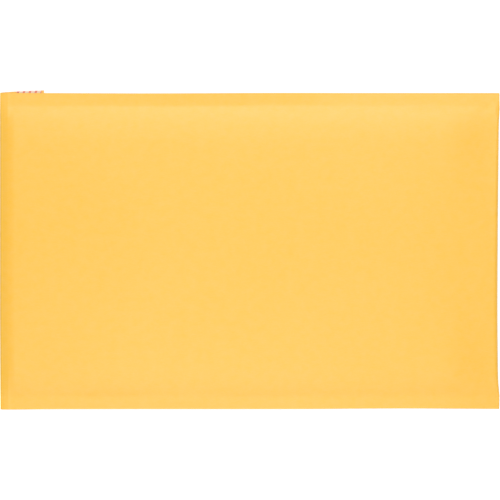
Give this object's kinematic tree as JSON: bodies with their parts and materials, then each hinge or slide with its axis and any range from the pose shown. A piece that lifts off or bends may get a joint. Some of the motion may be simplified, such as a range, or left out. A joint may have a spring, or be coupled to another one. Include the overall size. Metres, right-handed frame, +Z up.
{
  "type": "padded envelope",
  "caption": "Flat kraft mailing envelope lined with bubble film, with sealed long sides, a rounded bottom fold and a flap turned under its back.",
  "frame": {"origin": "on the table, under the centre of the envelope as it lies face up on its back", "axes": "+X from the flap's fold to the bottom fold, +Y across to the side where the flap's corner shows, +Z up out of the front"},
  "size_m": [0.406, 0.2594, 0.0082],
  "materials": {
    "kraft": "golden-yellow kraft paper, matte with a soft calendered sheen",
    "bubble_film": "clear polythene bubble film, slightly milky",
    "glue": "pressure-sensitive hot melt, tacky and pale",
    "release_paper": "smooth siliconed paper, off-white with faint plain bars"
  },
  "bodies": {
    "root": {"kraft_cover": "kraft", "bubble_lining": "bubble_film", "glue_line": "glue", "release_strip": "release_paper"}
  },
  "joints": []
}
